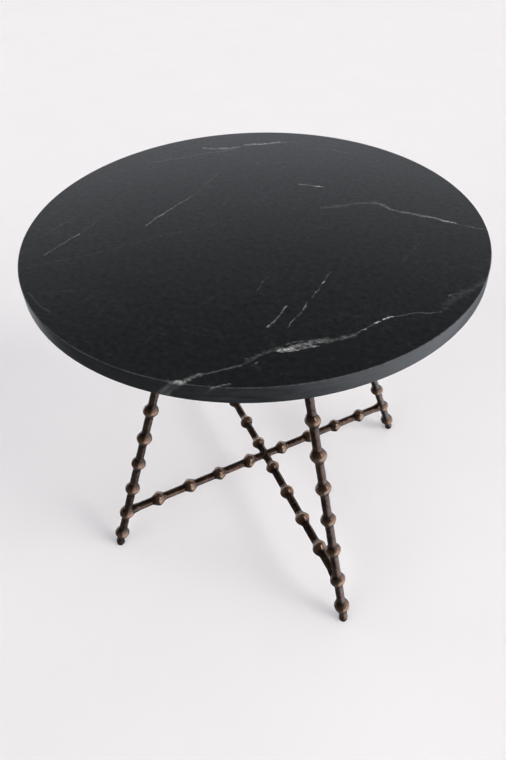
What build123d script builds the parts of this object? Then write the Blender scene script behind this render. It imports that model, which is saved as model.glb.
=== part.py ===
from build123d import *
import os
from math import atan2, cos, degrees, radians, sin, tan

# Round stone-topped table on four splayed, beaded bronze legs with a crossed stretcher.
# Millimetres. +Z is up, the origin is on the floor under the centre of the top, and the
# four legs stand on the diagonals between +X and +Y.

# overall sizes
table_height = 750.0
top_diameter = 800.0
top_thickness = 28.0
top_arris = 1.5

# beaded bronze rod, the stock of the legs and the stretchers
rod_diameter = 17.0
bead_diameter = 31.0
bead_pitch = 74.0
bead_flank_angle = 30.0
bead_ridge_radius = 9.0
bead_root_radius = 10.0

# where a leg's axis meets the floor and the underside of the top
leg_floor_radius = 370.0
leg_head_radius = 130.0
leg_bead_count = 10
first_bead_along_leg = 31.0

# stretcher ends, let into the second bead of each leg
seat_from_joint = 9.0
seat_diameter = 20.0
seat_straight = 8.0
seat_taper = 10.0
seat_clearance = 0.1
dowel_diameter = 8.0
dowel_in_leg = 12.0
dowel_in_stretcher = 18.0
crossing_dowel_diameter = 6.0
crossing_dowel_length = 40.0
cope_trim = 3.0
dowel_clearance = 0.1

# mounting plate under the top, and the flange round the head of each leg
plate_diameter = 380.0
plate_thickness = 8.0
cushion_diameter = 40.0
cushion_thickness = 2.0
cushion_count = 8
flange_diameter = 64.0
flange_thickness = 10.0
flange_edge_round = 2.0
flange_screw_circle_radius = 23.0
flange_screw_count = 3

# M6 screws through the flanges, M8 screws through the plate into the top
m6_diameter = 6.0
m6_clearance_hole = 6.6
m6_head_diameter = 10.0
m6_head_height = 5.0
m6_length = 16.0
m8_diameter = 8.0
m8_clearance_hole = 9.0
m8_head_diameter = 13.0
m8_head_height = 6.0
m8_length = 25.0
top_screw_radius = 150.0
washer_diameter = 18.0
washer_thickness = 1.6
insert_diameter = 12.0
insert_length = 18.0
insert_bed = 0.2
thread_gap = 0.1

# levelling glide under each leg
glide_pad_diameter = 17.0
glide_pad_height = 6.0
glide_pad_chamfer = 1.0
glide_travel = 8.0
glide_hex_across_flats = 13.0
glide_hex_height = 2.5
glide_gap = 0.3
glide_thread_diameter = 8.0
glide_thread_length = 20.0
glide_running_clearance = 0.05
glide_neck_diameter = 6.0
glide_button_diameter = 10.0
glide_button_height = 2.5
glide_button_from_floor = 1.5

# worked out from the above
rod_radius = rod_diameter / 2
bead_radius = bead_diameter / 2
top_underside = table_height - top_thickness
splay = degrees(atan2(leg_floor_radius - leg_head_radius, top_underside))
plate_top = top_underside - cushion_thickness
plate_underside = plate_top - plate_thickness
flange_underside = plate_underside - flange_thickness
joint_along_leg = first_bead_along_leg + bead_pitch
joint_radius = leg_floor_radius - joint_along_leg * sin(radians(splay))
stretcher_height = joint_along_leg * cos(radians(splay))
stretcher_beads = [joint_radius - bead_pitch * step for step in range(4, 0, -1)]
stub_height = glide_pad_height + glide_hex_height + 2 * glide_gap

LEG_AZIMUTHS = {"back_right": 45, "back_left": 135, "front_left": 225, "front_right": 315}


def leg_radius_at(height):
    """Distance of a leg's axis from the table's axis at a height above the floor."""
    return leg_floor_radius - height * tan(radians(splay))


def beaded_outline(start, end, beads):
    """Outline of a beaded rod, from (radius, start) to (radius, end): each bead is a
    rounded ridge between two straight flanks that run out into the rod in hollow curves."""
    flank = radians(bead_flank_angle)
    ridge_half = bead_ridge_radius * sin(flank)
    ridge_drop = bead_ridge_radius * (1 - cos(flank))
    root_half = bead_root_radius * sin(flank)
    root_rise = bead_root_radius * (1 - cos(flank))
    flank_rise = bead_radius - ridge_drop - rod_radius - root_rise
    flank_half = flank_rise / tan(flank)
    half_length = ridge_half + flank_half + root_half
    edges = []
    here = (rod_radius, start)
    for centre in beads:
        low = (rod_radius, centre - half_length)
        foot_low = (rod_radius + root_rise, centre - ridge_half - flank_half)
        brow_low = (bead_radius - ridge_drop, centre - ridge_half)
        brow_high = (bead_radius - ridge_drop, centre + ridge_half)
        foot_high = (rod_radius + root_rise, centre + ridge_half + flank_half)
        high = (rod_radius, centre + half_length)
        edges.append(Line(here, low))
        edges.append(TangentArc(low, foot_low, tangent=(0, 1)))
        edges.append(Line(foot_low, brow_low))
        edges.append(ThreePointArc(brow_low, (bead_radius, centre), brow_high))
        edges.append(Line(brow_high, foot_high))
        edges.append(TangentArc(high, foot_high, tangent=(0, -1)))
        here = high
    edges.append(Line(here, (rod_radius, end)))
    return edges


def turned(edges, start, end):
    """Solid of revolution about Z under an outline that runs from start to end."""
    first = edges[0] @ 0
    last = edges[-1] @ 1
    closing = [Line((last.X, last.Y), (0, end)), Line((0, end), (0, start)), Line((0, start), (first.X, first.Y))]
    face = make_face([*edges, *closing])
    upright = Rot(90, 0, 0) * face
    return revolve(upright, axis=Axis.Z)


def upright_cylinder(radius, low, high, x=0.0, y=0.0):
    """Vertical cylinder between two heights."""
    return Pos(x, y, low) * Cylinder(radius, high - low, align=(Align.CENTER, Align.CENTER, Align.MIN))


def lying_cylinder(radius, near, far, height):
    """Cylinder along +X between two distances from the table's axis."""
    body = Cylinder(radius, far - near, align=(Align.CENTER, Align.CENTER, Align.MIN))
    return Pos(near, 0, height) * Rot(0, 90, 0) * body


def stone_top():
    """Slab with a small chamfer on both edges and four blind holes for the inserts."""
    slab = upright_cylinder(top_diameter / 2, top_underside, table_height)
    slab = chamfer(slab.edges().filter_by(GeomType.CIRCLE), top_arris)
    hole_top = top_underside + insert_length + 1
    hole_radius = insert_diameter / 2 + insert_bed
    for azimuth in range(0, 360, 90):
        hole = upright_cylinder(hole_radius, top_underside - 1, hole_top, top_screw_radius)
        slab -= Rot(0, 0, azimuth) * hole
    return slab


def stone_inserts():
    """Four threaded brass sleeves bedded in the underside of the slab."""
    sleeve = upright_cylinder(insert_diameter / 2, top_underside, top_underside + insert_length, top_screw_radius)
    bore_radius = m8_diameter / 2 + thread_gap
    sleeve -= upright_cylinder(bore_radius, top_underside - 1, table_height, top_screw_radius)
    return [Rot(0, 0, azimuth) * sleeve for azimuth in range(0, 360, 90)]


def top_screws():
    """Four M8 screws, up through the plate into the inserts."""
    shank_low = plate_underside - washer_thickness
    shank = upright_cylinder(m8_diameter / 2, shank_low, shank_low + m8_length, top_screw_radius)
    head = upright_cylinder(m8_head_diameter / 2, shank_low - m8_head_height, shank_low, top_screw_radius)
    socket = Pos(top_screw_radius, 0, shank_low - m8_head_height) * extrude(RegularPolygon(3, 6, major_radius=False), 3)
    screw = shank + head - socket
    return [Rot(0, 0, azimuth) * screw for azimuth in range(0, 360, 90)]


def top_washers():
    """Four flat washers under the heads of the M8 screws."""
    low = plate_underside - washer_thickness
    washer = upright_cylinder(washer_diameter / 2, low, plate_underside, top_screw_radius)
    washer -= upright_cylinder(m8_clearance_hole / 2, low - 1, plate_underside + 1, top_screw_radius)
    return [Rot(0, 0, azimuth) * washer for azimuth in range(0, 360, 90)]


def cushion_pads():
    """Eight rubber discs that bed the slab on the plate, every other one round a screw."""
    pads = []
    for place in range(cushion_count):
        pad = upright_cylinder(cushion_diameter / 2, plate_top, top_underside, top_screw_radius)
        if place % 2 == 0:
            pad -= upright_cylinder(m8_clearance_hole / 2, plate_top - 1, table_height, top_screw_radius)
        pads.append(Rot(0, 0, place * 360 / cushion_count) * pad)
    return pads


def flange_screw_places():
    """The screws of one flange, as (x, y) for a leg on +X."""
    centre = leg_radius_at((flange_underside + plate_underside) / 2)
    places = []
    for place in range(flange_screw_count):
        angle = radians(60 + place * 360 / flange_screw_count)
        x = centre + flange_screw_circle_radius * cos(angle)
        y = flange_screw_circle_radius * sin(angle)
        places.append((x, y))
    return places


def mounting_plate():
    """Steel disc with clearance holes for the M8 screws and threads for the M6 screws."""
    plate = upright_cylinder(plate_diameter / 2, plate_underside, plate_top)
    plate = chamfer(plate.edges().filter_by(GeomType.CIRCLE), 1)
    for azimuth in range(0, 360, 90):
        hole = upright_cylinder(m8_clearance_hole / 2, plate_underside - 1, plate_top + 1, top_screw_radius)
        plate -= Rot(0, 0, azimuth) * hole
    thread_radius = m6_diameter / 2 + thread_gap
    for azimuth in LEG_AZIMUTHS.values():
        for x, y in flange_screw_places():
            plate -= Rot(0, 0, azimuth) * upright_cylinder(thread_radius, plate_underside - 1, plate_top + 1, x, y)
    return plate


def leg_flange():
    """Round bronze flange with a slanting bore for the head of a leg on +X."""
    centre = leg_radius_at((flange_underside + plate_underside) / 2)
    flange = upright_cylinder(flange_diameter / 2, flange_underside, plate_underside, centre)
    low_edge = flange.edges().filter_by(GeomType.CIRCLE).sort_by(Axis.Z)[0]
    flange = fillet(low_edge, flange_edge_round)
    bore = Cylinder(rod_radius + dowel_clearance, 3 * table_height)
    flange -= Pos(leg_floor_radius, 0, 0) * Rot(0, -splay, 0) * bore
    for x, y in flange_screw_places():
        flange -= upright_cylinder(m6_clearance_hole / 2, flange_underside - 1, plate_underside + 1, x, y)
    return flange


def flange_screws():
    """Three M6 screws under each flange, threaded into the plate."""
    shank_low = flange_underside
    screws = []
    for azimuth in LEG_AZIMUTHS.values():
        for x, y in flange_screw_places():
            screw = upright_cylinder(m6_diameter / 2, shank_low, shank_low + m6_length, x, y)
            screw += upright_cylinder(m6_head_diameter / 2, shank_low - m6_head_height, shank_low, x, y)
            socket = Pos(x, y, shank_low - m6_head_height) * extrude(RegularPolygon(2.5, 6, major_radius=False), 2.5)
            screws.append(Rot(0, 0, azimuth) * (screw - socket))
    return screws


def leg():
    """Beaded leg on +X: cut level at both ends, with a tapped hole up the foot and a
    spot-faced seat and a dowel hole in its second bead for the stretcher."""
    length = top_underside / cos(radians(splay))
    beads = [first_bead_along_leg + bead_pitch * step for step in range(leg_bead_count)]
    stock = turned(beaded_outline(-20, length, beads), -20, length)
    stock = Pos(leg_floor_radius, 0, 0) * Rot(0, -splay, 0) * stock
    level_cut = Pos(0, 0, stub_height) * Box(
        2 * top_diameter, top_diameter, plate_underside - stub_height, align=(Align.CENTER, Align.CENTER, Align.MIN)
    )
    stock &= level_cut
    hole_top = stub_height + glide_thread_length + 2
    stock -= upright_cylinder(glide_thread_diameter / 2, 0, hole_top, leg_radius_at(stub_height))
    seat = joint_radius - seat_from_joint
    stock -= lying_cylinder(seat_diameter / 2 + seat_clearance, seat - 30, seat, stretcher_height)
    dowel_hole = dowel_diameter / 2 + dowel_clearance
    stock -= lying_cylinder(dowel_hole, seat - 1, seat + dowel_in_leg + 0.5, stretcher_height)
    return stock


def stretcher_outline(start):
    """Beaded outline from start out to a seat, where the rod widens to a short collar."""
    seat = joint_radius - seat_from_joint
    collar = seat - seat_straight
    beads = [bead for bead in stretcher_beads if bead > start]
    edges = beaded_outline(start, collar - seat_taper, beads)
    edges.append(Line((rod_radius, collar - seat_taper), (seat_diameter / 2, collar)))
    edges.append(Line((seat_diameter / 2, collar), (seat_diameter / 2, seat)))
    return edges


def half_stretcher_stock():
    """One turned arm along +X, from the table's axis to its seat in a leg."""
    seat = joint_radius - seat_from_joint
    arm = turned(stretcher_outline(0), 0, seat)
    arm = Pos(0, 0, stretcher_height) * Rot(0, 90, 0) * arm
    dowel_hole = dowel_diameter / 2 + dowel_clearance
    return arm - lying_cylinder(dowel_hole, seat - dowel_in_stretcher - 0.5, seat + 1, stretcher_height)


def through_stretcher():
    """The stretcher that runs whole from leg to leg, drilled across for the dowel."""
    arm = half_stretcher_stock()
    whole = arm + Rot(0, 0, 180) * arm
    hole_radius = crossing_dowel_diameter / 2 + dowel_clearance
    return whole - Rot(0, 0, 90) * lying_cylinder(hole_radius, -rod_diameter, rod_diameter, stretcher_height)


def half_stretcher():
    """One arm coped to the side of the through stretcher, with a dowel hole in its end."""
    arm = half_stretcher_stock()
    across = Rot(0, 0, 90) * lying_cylinder(rod_radius, -rod_diameter, rod_diameter, stretcher_height)
    arm -= across
    arm -= Pos(0, 0, stretcher_height) * Box(2 * cope_trim, rod_diameter, rod_diameter + 1)
    hole_radius = crossing_dowel_diameter / 2 + dowel_clearance
    return arm - lying_cylinder(hole_radius, 0, crossing_dowel_length / 2 + 0.5, stretcher_height)


def crossing_dowel():
    """Pin that ties both half stretchers through the whole one."""
    half = crossing_dowel_length / 2
    return lying_cylinder(crossing_dowel_diameter / 2, -half, half, stretcher_height)


def stretcher_dowels():
    """Four pins between the stretcher ends and the legs."""
    seat = joint_radius - seat_from_joint
    pin = lying_cylinder(dowel_diameter / 2, seat - dowel_in_stretcher, seat + dowel_in_leg, stretcher_height)
    return [Rot(0, 0, azimuth) * pin for azimuth in LEG_AZIMUTHS.values()]


def glide_stem():
    """Threaded stem with a spanner hexagon and the button that snaps into the pad."""
    x = leg_radius_at(stub_height)
    hex_low = glide_pad_height + glide_gap
    hex_high = hex_low + glide_hex_height
    thread_radius = glide_thread_diameter / 2 - glide_running_clearance
    stem = upright_cylinder(thread_radius, hex_high, stub_height + glide_thread_length, x)
    stem += Pos(x, 0, hex_low) * extrude(
        RegularPolygon(glide_hex_across_flats / 2, 6, major_radius=False), glide_hex_height
    )
    button_high = glide_button_from_floor + glide_button_height
    stem += upright_cylinder(glide_neck_diameter / 2, button_high, hex_low, x)
    stem += upright_cylinder(glide_button_diameter / 2, glide_button_from_floor, button_high, x)
    return stem


def glide_pad():
    """Nylon foot disc that clips over the button of the stem and doesn't turn with it."""
    x = leg_radius_at(stub_height)
    pad = upright_cylinder(glide_pad_diameter / 2, 0, glide_pad_height, x)
    low_edge = pad.edges().filter_by(GeomType.CIRCLE).sort_by(Axis.Z)[0]
    pad = chamfer(low_edge, glide_pad_chamfer)
    button_high = glide_button_from_floor + glide_button_height
    clearance = glide_running_clearance
    pad -= upright_cylinder(
        glide_button_diameter / 2 + clearance, glide_button_from_floor - clearance, button_high + clearance, x
    )
    return pad - upright_cylinder(glide_neck_diameter / 2 + clearance, button_high, glide_pad_height + 1, x)


def write(name, solids):
    """Write one node, as one solid or as a group of separate solids."""
    if isinstance(solids, list):
        solids = Compound(children=[item.solid() for item in solids])
    export_step(solids, f"parts/{name}.step")


os.makedirs("parts", exist_ok=True)
write("stone_top", stone_top())
write("stone_inserts", stone_inserts())
write("top_screws", top_screws())
write("top_washers", top_washers())
write("cushion_pads", cushion_pads())
write("mounting_plate", mounting_plate())
write("flange_screws", flange_screws())
write("through_stretcher", Rot(0, 0, LEG_AZIMUTHS["back_right"]) * through_stretcher())
write("crossing_dowel", Rot(0, 0, LEG_AZIMUTHS["front_right"]) * crossing_dowel())
write("stretcher_dowels", stretcher_dowels())
for corner in ("front_right", "back_left"):
    write(f"half_stretcher_{corner}", Rot(0, 0, LEG_AZIMUTHS[corner]) * half_stretcher())
for corner, azimuth in LEG_AZIMUTHS.items():
    write(f"leg_{corner}", Rot(0, 0, azimuth) * leg())
    write(f"leg_flange_{corner}", Rot(0, 0, azimuth) * leg_flange())
    write(f"glide_stem_{corner}", Rot(0, 0, azimuth) * glide_stem())
    write(f"glide_pad_{corner}", Rot(0, 0, azimuth) * glide_pad())
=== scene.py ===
import math

import bmesh
import bpy
from mathutils import Matrix, Vector


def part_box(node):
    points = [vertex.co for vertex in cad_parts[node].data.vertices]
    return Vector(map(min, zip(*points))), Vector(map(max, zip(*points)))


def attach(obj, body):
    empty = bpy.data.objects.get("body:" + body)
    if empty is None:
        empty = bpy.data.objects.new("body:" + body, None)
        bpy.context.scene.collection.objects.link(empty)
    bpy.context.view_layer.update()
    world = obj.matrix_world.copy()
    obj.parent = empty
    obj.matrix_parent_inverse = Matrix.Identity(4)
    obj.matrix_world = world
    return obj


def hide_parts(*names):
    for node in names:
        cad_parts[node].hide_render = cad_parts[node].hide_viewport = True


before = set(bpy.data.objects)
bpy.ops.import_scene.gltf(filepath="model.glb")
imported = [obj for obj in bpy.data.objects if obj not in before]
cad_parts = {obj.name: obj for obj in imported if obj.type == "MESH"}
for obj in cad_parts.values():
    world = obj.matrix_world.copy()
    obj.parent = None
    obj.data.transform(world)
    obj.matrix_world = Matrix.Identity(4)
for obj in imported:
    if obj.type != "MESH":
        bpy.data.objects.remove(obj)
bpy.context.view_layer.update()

# ---------------------------------------------------------------------------------------
# Legs. Each is one lost-wax casting in bronze, a slim rod with a bead every 74 mm. The
# casting is chased and filed by hand, so no two beads are quite alike, then darkened with
# a brown patina, rubbed back on the beads and waxed. Both ends are sawn level.
mm = 0.001
rod_radius = 8.5 * mm
bead_radius = 15.5 * mm
bead_pitch = 74 * mm
bead_ridge = 5.0 * mm
bead_flank_slope = 0.72
bead_root_blend = 3.2 * mm
foot_bead_lift = 6.5 * mm
collar_whole, collar_gone = 7 * mm, 20 * mm      # how far in from an end
levelled_run = 12 * mm
ring_spacing = 1.3 * mm
rod_sides = 40
leg_floor_radius = 370 * mm
leg_head_radius = 130 * mm
leg_first_bead = 31 * mm
leg_bead_count = 10
leg_azimuths = {"back_right": 45, "back_left": 135, "front_left": 225, "front_right": 315}
top_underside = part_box("stone_top")[0][2]
leg_foot_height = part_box("leg_front_right")[0][2]
leg_head_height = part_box("leg_front_right")[1][2]
splay = math.atan2(leg_floor_radius - leg_head_radius, top_underside)

# hand work: how far a bead strays along its rod, leans and varies in size, then how deep
# the rod's waves and the filed facets are
bead_stray = 1.2 * mm
bead_lean = 1.4 * mm
bead_size_play = 0.35 * mm
wave_depth = 1.3 * mm
facet_depth = 1.4 * mm


def add(tree, kind, inputs=(), out=0, **settings):
    """Adds a node with its settings, values and links, and returns one of its outputs."""
    node = tree.nodes.new(kind)
    for name, value in settings.items():
        setattr(node, name, value)
    for key, value in dict(inputs).items():
        if isinstance(value, bpy.types.NodeSocket):
            tree.links.new(value, node.inputs[key])
        else:
            node.inputs[key].default_value = value
    return node.outputs[out]


def linear(hex_colour):
    """Linear RGBA from an sRGB hex colour such as "#3b2a22"."""
    channels = [int(hex_colour[i:i + 2], 16) / 255 for i in (1, 3, 5)]
    curve = [c / 12.92 if c <= 0.04045 else ((c + 0.055) / 1.055) ** 2.4 for c in channels]
    return curve + [1.0]


def start_material(name):
    """A new material, its node tree, its shader and the object's own coordinates."""
    material = bpy.data.materials.new(name)
    material.use_nodes = True
    tree = material.node_tree
    shader = tree.nodes["Principled BSDF"]
    return material, tree, shader, add(tree, "ShaderNodeTexCoord", out="Object")


def put_in_scene(name, data):
    """A new object made of this mesh, curve, light or camera."""
    thing = bpy.data.objects.new(name, data)
    bpy.context.scene.collection.objects.link(thing)
    return thing


def final_mesh(thing):
    """The object's mesh as it is after its modifiers."""
    return bpy.data.meshes.new_from_object(
        thing.evaluated_get(bpy.context.evaluated_depsgraph_get()))


def beaded_rod_tree():
    """Geometry Nodes for a beaded rod along Z. Beads are counted outwards from z = 0, so a
    rod with both ends is the same each side. Hand work shows as uneven beads and facets."""
    tree = bpy.data.node_groups.new("beaded_rod", "GeometryNodeTree")
    tree.interface.new_socket("Geometry", in_out="OUTPUT", socket_type="NodeSocketGeometry")
    for name, kind in {
        "Low": "Float", "High": "Float", "Rings": "Int", "First Bead": "Float",
        "Last Bead": "Int", "End Bead Lift": "Float", "Collar Rise": "Float",
        "Low Slope": "Float", "High Slope": "Float", "Seed": "Int", "Bronze": "Material",
    }.items():
        tree.interface.new_socket(name, in_out="INPUT", socket_type=f"NodeSocket{kind}")
    given = tree.nodes.new("NodeGroupInput").outputs

    # a plain cylinder of the rod's length, moved so that z is the place along the rod
    length = add(tree, "ShaderNodeMath", {0: given["High"], 1: given["Low"]}, operation="SUBTRACT")
    both = add(tree, "ShaderNodeMath", {0: given["High"], 1: given["Low"]}, operation="ADD")
    middle = add(tree, "ShaderNodeMath", {0: both, 1: 0.5}, operation="MULTIPLY")
    rod = add(tree, "GeometryNodeMeshCylinder", {
        "Vertices": rod_sides, "Side Segments": given["Rings"], "Radius": 1.0, "Depth": length,
    }, fill_type="NGON")
    side = rod.node.outputs["Side"]
    rod = add(tree, "GeometryNodeSetShadeSmooth", {"Geometry": rod, "Shade Smooth": False})
    rod = add(tree, "GeometryNodeSetShadeSmooth",
              {"Geometry": rod, "Selection": side, "Shade Smooth": True})
    place = add(tree, "GeometryNodeInputPosition")
    x = add(tree, "ShaderNodeSeparateXYZ", {0: place})
    y, z_local = x.node.outputs[1], x.node.outputs[2]
    z = add(tree, "ShaderNodeMath", {0: z_local, 1: middle}, operation="ADD")
    out_from_middle = add(tree, "ShaderNodeMath", {0: z}, operation="ABSOLUTE")

    # the nearest bead, with a small random shift, lean and size of its own
    past_first = add(tree, "ShaderNodeMath", {0: out_from_middle, 1: given["First Bead"]},
                     operation="SUBTRACT")
    steps = add(tree, "ShaderNodeMath", {0: past_first, 1: bead_pitch}, operation="DIVIDE")
    whole = add(tree, "ShaderNodeMath", {0: steps}, operation="ROUND")
    bead = add(tree, "ShaderNodeClamp", {"Value": whole, "Min": 0.0, "Max": given["Last Bead"]})
    other_end = add(tree, "ShaderNodeMath", {0: z, 1: 0.0}, operation="LESS_THAN")
    bead_id = add(tree, "ShaderNodeMath", {0: other_end, 1: 20.0, 2: bead},
                  operation="MULTIPLY_ADD")
    hand = add(tree, "FunctionNodeRandomValue", {
        "Min": (-1.0, -1.0, -1.0), "Max": (1.0, 1.0, 1.0), "ID": bead_id, "Seed": given["Seed"],
    }, data_type="FLOAT_VECTOR")
    hand_size = add(tree, "ShaderNodeSeparateXYZ", {0: hand})
    hand_lean_x, hand_lean_y = hand_size.node.outputs[1], hand_size.node.outputs[2]
    past_bead = add(tree, "ShaderNodeMath", {0: bead, 1: -bead_pitch, 2: past_first},
                    operation="MULTIPLY_ADD")
    past_bead = add(tree, "ShaderNodeMath", {0: hand_size, 1: bead_stray, 2: past_bead},
                    operation="MULTIPLY_ADD")
    end_bead = add(tree, "ShaderNodeMath", {0: bead, 1: 0.5}, operation="LESS_THAN")
    lift = add(tree, "ShaderNodeMath", {0: end_bead, 1: given["End Bead Lift"]},
               operation="MULTIPLY")
    past_bead = add(tree, "ShaderNodeMath", {0: past_bead, 1: lift}, operation="SUBTRACT")
    lean = add(tree, "ShaderNodeMath", {0: x, 1: hand_lean_x}, operation="MULTIPLY")
    lean = add(tree, "ShaderNodeMath", {0: y, 1: hand_lean_y, 2: lean}, operation="MULTIPLY_ADD")
    past_bead = add(tree, "ShaderNodeMath", {0: lean, 1: bead_lean, 2: past_bead},
                    operation="MULTIPLY_ADD")

    # the bead's outline: a rounded ridge, straight flanks and hollow roots
    squared = add(tree, "ShaderNodeMath", {0: past_bead, 1: past_bead, 2: bead_ridge ** 2},
                  operation="MULTIPLY_ADD")
    root = add(tree, "ShaderNodeMath", {0: squared}, operation="SQRT")
    flank_start = bead_radius + bead_flank_slope * bead_ridge
    fall = add(tree, "ShaderNodeMath", {0: root, 1: -bead_flank_slope, 2: flank_start},
               operation="MULTIPLY_ADD")
    fall = add(tree, "ShaderNodeMath", {0: hand_size, 1: bead_size_play, 2: fall},
               operation="MULTIPLY_ADD")
    outline = add(tree, "ShaderNodeMath", {0: fall, 1: rod_radius, 2: bead_root_blend},
                  operation="SMOOTH_MAX")
    ridge = add(tree, "ShaderNodeMapRange",
                {0: outline, 1: rod_radius, 2: bead_radius, 3: 0.0, 4: 1.0})

    # the rod widens to a collar where an end is let into another casting
    to_end = add(tree, "ShaderNodeMath", {0: given["High"], 1: out_from_middle},
                 operation="SUBTRACT")
    collar = add(tree, "ShaderNodeMapRange",
                 {0: to_end, 1: collar_gone, 2: collar_whole, 3: 0.0, 4: 1.0},
                 interpolation_type="SMOOTHSTEP")
    outline = add(tree, "ShaderNodeMath", {0: collar, 1: given["Collar Rise"], 2: outline},
                  operation="MULTIPLY_ADD")

    # hand work: long waves in the rod, filed facets on the beads
    round_place = add(tree, "ShaderNodeCombineXYZ", {0: x, 1: y, 2: 0.0})
    round_place = add(tree, "ShaderNodeVectorMath", {0: round_place, "Scale": bead_radius},
                      operation="SCALE")
    along = add(tree, "ShaderNodeCombineXYZ", {0: given["Seed"], 1: 0.0, 2: z})
    skin = add(tree, "ShaderNodeVectorMath", {0: round_place, 1: along}, operation="ADD")
    waves = add(tree, "ShaderNodeTexNoise", {"Vector": skin, "Scale": 45.0, "Detail": 2.0})
    waves = add(tree, "ShaderNodeMath", {0: waves, 1: 0.5}, operation="SUBTRACT")
    outline = add(tree, "ShaderNodeMath", {0: waves, 1: wave_depth, 2: outline},
                  operation="MULTIPLY_ADD")
    facets = add(tree, "ShaderNodeTexVoronoi", {"Vector": skin, "Scale": 80.0, "Smoothness": 0.35},
                 feature="SMOOTH_F1")
    facets = add(tree, "ShaderNodeMath", {0: facets, 1: 0.45}, operation="SUBTRACT")
    facets = add(tree, "ShaderNodeMath", {0: facets, 1: ridge}, operation="MULTIPLY")
    outline = add(tree, "ShaderNodeMath", {0: facets, 1: facet_depth, 2: outline},
                  operation="MULTIPLY_ADD")

    # place each point, and slope the ends so that they come out level
    new_x = add(tree, "ShaderNodeMath", {0: x, 1: outline}, operation="MULTIPLY")
    new_y = add(tree, "ShaderNodeMath", {0: y, 1: outline}, operation="MULTIPLY")
    from_low = add(tree, "ShaderNodeMath", {0: z, 1: given["Low"]}, operation="SUBTRACT")
    near_low = add(tree, "ShaderNodeMapRange",
                   {0: from_low, 1: 0.0, 2: levelled_run, 3: 1.0, 4: 0.0})
    from_high = add(tree, "ShaderNodeMath", {0: given["High"], 1: z}, operation="SUBTRACT")
    near_high = add(tree, "ShaderNodeMapRange",
                    {0: from_high, 1: 0.0, 2: levelled_run, 3: 1.0, 4: 0.0})
    slope = add(tree, "ShaderNodeMath", {0: near_low, 1: given["Low Slope"]}, operation="MULTIPLY")
    slope = add(tree, "ShaderNodeMath", {0: near_high, 1: given["High Slope"], 2: slope},
                operation="MULTIPLY_ADD")
    drop = add(tree, "ShaderNodeMath", {0: new_x, 1: slope}, operation="MULTIPLY")
    new_z = add(tree, "ShaderNodeMath", {0: z, 1: drop}, operation="SUBTRACT")
    new_place = add(tree, "ShaderNodeCombineXYZ", {0: new_x, 1: new_y, 2: new_z})
    rod = add(tree, "GeometryNodeStoreNamedAttribute",
              {"Geometry": rod, "Name": "ridge", "Value": ridge}, data_type="FLOAT", domain="POINT")
    rod = add(tree, "GeometryNodeSetPosition", {"Geometry": rod, "Position": new_place})
    rod = add(tree, "GeometryNodeRealizeInstances", {"Geometry": rod})
    rod = add(tree, "GeometryNodeSetMaterial", {"Geometry": rod, "Material": given["Bronze"]})
    tree.nodes.new("NodeGroupOutput")
    tree.links.new(rod, tree.nodes["Group Output"].inputs[0])
    return tree


def patinated_bronze():
    """Cast bronze, brown patina, waxed: dark brown with soft long highlights, blacker
    patches where the acid bit, and bright brown where the beads' ridges are rubbed."""
    material, tree, shader, here = start_material("cast_bronze_brown_patina")
    ridge = add(tree, "ShaderNodeAttribute", out="Fac", attribute_name="ridge")
    broad = add(tree, "ShaderNodeTexNoise",
                {"Vector": here, "Scale": 26.0, "Detail": 3.0, "Roughness": 0.6})
    cloud = add(tree, "ShaderNodeTexNoise",
                {"Vector": here, "Scale": 110.0, "Detail": 5.0, "Roughness": 0.65})
    grain = add(tree, "ShaderNodeTexNoise",
                {"Vector": here, "Scale": 900.0, "Detail": 3.0, "Roughness": 0.6})
    patches = add(tree, "ShaderNodeMath", {0: broad, 1: cloud}, operation="ADD")
    patches = add(tree, "ShaderNodeMapRange", {0: patches, 1: 0.8, 2: 1.2, 3: 0.0, 4: 1.0})
    patina = add(tree, "ShaderNodeMix", {0: patches, 6: linear("#2e211a"), 7: linear("#60493b")},
                 out=2, data_type="RGBA")
    on_bead = add(tree, "ShaderNodeMapRange", {0: ridge, 1: 0.15, 2: 0.65, 3: 0.0, 4: 0.7})
    patina = add(tree, "ShaderNodeMix", {0: on_bead, 6: patina, 7: linear("#775c49")}, out=2,
                 data_type="RGBA")
    rubbed = add(tree, "ShaderNodeMath", {0: cloud, 1: 0.5, 2: ridge}, operation="MULTIPLY_ADD")
    rubbed = add(tree, "ShaderNodeMapRange", {0: rubbed, 1: 0.95, 2: 1.4, 3: 0.0, 4: 0.6})
    colour = add(tree, "ShaderNodeMix", {0: rubbed, 6: patina, 7: linear("#b3957d")}, out=2,
                 data_type="RGBA")
    into_hollow = add(tree, "ShaderNodeMapRange", {0: ridge, 1: 0.01, 2: 0.1, 3: 0.0, 4: 0.65})
    hollow = add(tree, "ShaderNodeMapRange", {0: ridge, 1: 0.12, 2: 0.38, 3: 1.0, 4: 0.0})
    hollow = add(tree, "ShaderNodeMath", {0: into_hollow, 1: hollow}, operation="MULTIPLY")
    colour = add(tree, "ShaderNodeMix", {0: hollow, 6: colour, 7: linear("#17120e")}, out=2,
                 data_type="RGBA")
    tree.links.new(colour, shader.inputs["Base Color"])
    roughness = add(tree, "ShaderNodeMapRange", {0: cloud, 1: 0.3, 2: 0.7, 3: 0.17, 4: 0.3})
    roughness = add(tree, "ShaderNodeMath", {0: hollow, 1: 0.25, 2: roughness},
                    operation="MULTIPLY_ADD")
    tree.links.new(roughness, shader.inputs["Roughness"])
    shader.inputs["Metallic"].default_value = 0.88
    shader.inputs["Coat Weight"].default_value = 0.5
    shader.inputs["Coat Roughness"].default_value = 0.14
    bump = add(tree, "ShaderNodeBump", {"Strength": 0.35, "Distance": 0.25 * mm, "Height": grain})
    bump = add(tree, "ShaderNodeBump",
               {"Strength": 0.3, "Distance": 1.0 * mm, "Height": cloud, "Normal": bump})
    tree.links.new(bump, shader.inputs["Normal"])
    return material


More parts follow.
